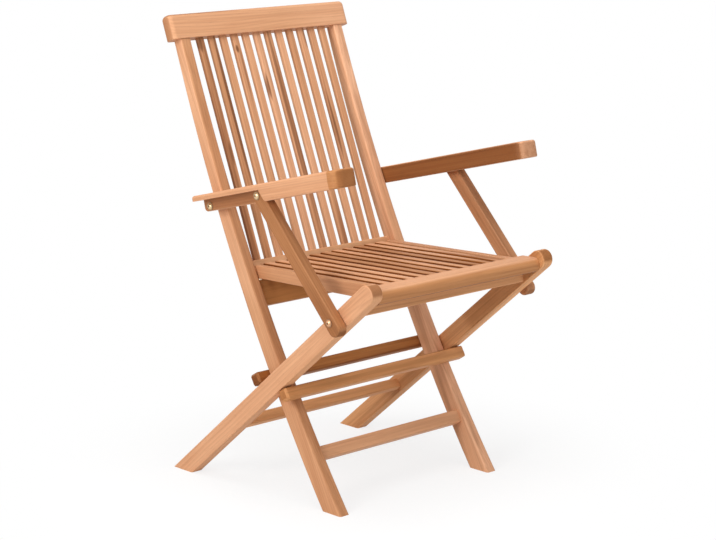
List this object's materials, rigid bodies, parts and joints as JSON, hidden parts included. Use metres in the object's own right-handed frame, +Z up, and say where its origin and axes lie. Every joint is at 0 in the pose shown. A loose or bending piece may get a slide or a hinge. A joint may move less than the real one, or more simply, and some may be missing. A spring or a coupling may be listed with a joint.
{
  "type": "folding armchair",
  "caption": "Folding wooden armchair with a tall curved slatted back, slatted seat, crossed legs and arms on pivoting supports.",
  "frame": {"origin": "on the floor, centre of the open chair's bounding box", "axes": "+X to the sitter's left, +Y to the back of the chair, +Z up; the sitter faces -Y"},
  "size_m": [0.536, 0.6019, 0.897],
  "materials": {
    "frame_teak": "oiled and sanded teak",
    "seat_slat_teak": "oiled and sanded teak",
    "back_slat_teak": "oiled and sanded teak",
    "arm_teak": "oiled and sanded teak",
    "dowel_teak": "oiled and sanded teak",
    "brass": "satin"
  },
  "bodies": {
    "back_frame": {"arm_pivot_bolts": "brass", "back_slat_01": "back_slat_teak", "back_slat_02": "back_slat_teak", "back_slat_03": "back_slat_teak", "back_slat_04": "back_slat_teak", "back_slat_05": "back_slat_teak", "back_slat_06": "back_slat_teak", "back_slat_07": "back_slat_teak", "back_slat_08": "back_slat_teak", "back_slat_09": "back_slat_teak", "back_slat_10": "back_slat_teak", "back_slat_11": "back_slat_teak", "back_slat_12": "back_slat_teak", "crest_rail": "frame_teak", "front_bar_dowels": "dowel_teak", "front_stop_bar": "frame_teak", "front_stretcher": "frame_teak", "left_back_stile": "frame_teak", "leg_pivot_pins": "brass", "lower_back_rail": "frame_teak", "rear_bar_screws": "brass", "rear_stop_bar": "frame_teak", "right_back_stile": "frame_teak"},
    "seat": {"batten_screws_1": "brass", "batten_screws_2": "brass", "left_seat_side_rail": "frame_teak", "right_seat_side_rail": "frame_teak", "seat_batten_1": "frame_teak", "seat_batten_2": "frame_teak", "seat_front_rail": "frame_teak", "seat_pivot_pins": "brass", "seat_rear_cross_rail": "frame_teak", "seat_slat_01": "seat_slat_teak", "seat_slat_02": "seat_slat_teak", "seat_slat_03": "seat_slat_teak", "seat_slat_04": "seat_slat_teak", "seat_slat_05": "seat_slat_teak", "seat_slat_06": "seat_slat_teak", "seat_slat_07": "seat_slat_teak", "seat_slat_08": "seat_slat_teak", "seat_slat_09": "seat_slat_teak", "seat_slat_10": "seat_slat_teak", "seat_slat_11": "seat_slat_teak"},
    "leg_frame": {"left_rear_leg": "frame_teak", "leg_lower_stretcher": "frame_teak", "leg_upper_stretcher": "frame_teak", "right_rear_leg": "frame_teak"},
    "left_arm_body": {"left_arm": "arm_teak", "left_support_top_bolt": "brass"},
    "right_arm_body": {"right_arm": "arm_teak", "right_support_top_bolt": "brass"},
    "left_support_body": {"left_arm_support": "frame_teak", "left_support_foot_bolt": "brass"},
    "right_support_body": {"right_arm_support": "frame_teak", "right_support_foot_bolt": "brass"}
  },
  "joints": [
    {"name": "leg_fold", "type": "hinge", "parent": "back_frame", "child": "leg_frame", "pos_m": [0, -0.02091, 0.22075], "axis": [-1, 0, 0], "range_deg": [0, 64]},
    {"name": "seat_fold", "type": "hinge", "parent": "back_frame", "child": "seat", "pos_m": [0, 0.0803, 0.4234], "axis": [-1, 0, 0], "range_deg": [0, 107.52]},
    {"name": "left_arm_fold", "type": "hinge", "parent": "back_frame", "child": "left_arm_body", "pos_m": [0.225, 0.144, 0.545], "axis": [-1, 0, 0], "range_deg": [0, 90.88]},
    {"name": "right_arm_fold", "type": "hinge", "parent": "back_frame", "child": "right_arm_body", "pos_m": [-0.225, 0.144, 0.545], "axis": [-1, 0, 0], "range_deg": [0, 90.88]},
    {"name": "left_support_fold", "type": "hinge", "parent": "left_arm_body", "child": "left_support_body", "pos_m": [0.25, -0.01901, 0.58894], "axis": [1, 0, 0], "range_deg": [0, 102.21]},
    {"name": "right_support_fold", "type": "hinge", "parent": "right_arm_body", "child": "right_support_body", "pos_m": [-0.25, -0.01901, 0.58894], "axis": [1, 0, 0], "range_deg": [0, 102.21]}
  ],
  "couplings": [
    {"joint": "seat_fold", "follows": "leg_fold", "ratio": 1.68},
    {"joint": "left_arm_fold", "follows": "leg_fold", "ratio": 1.42},
    {"joint": "right_arm_fold", "follows": "leg_fold", "ratio": 1.42},
    {"joint": "left_support_fold", "follows": "leg_fold", "ratio": 1.597},
    {"joint": "right_support_fold", "follows": "leg_fold", "ratio": 1.597}
  ]
}
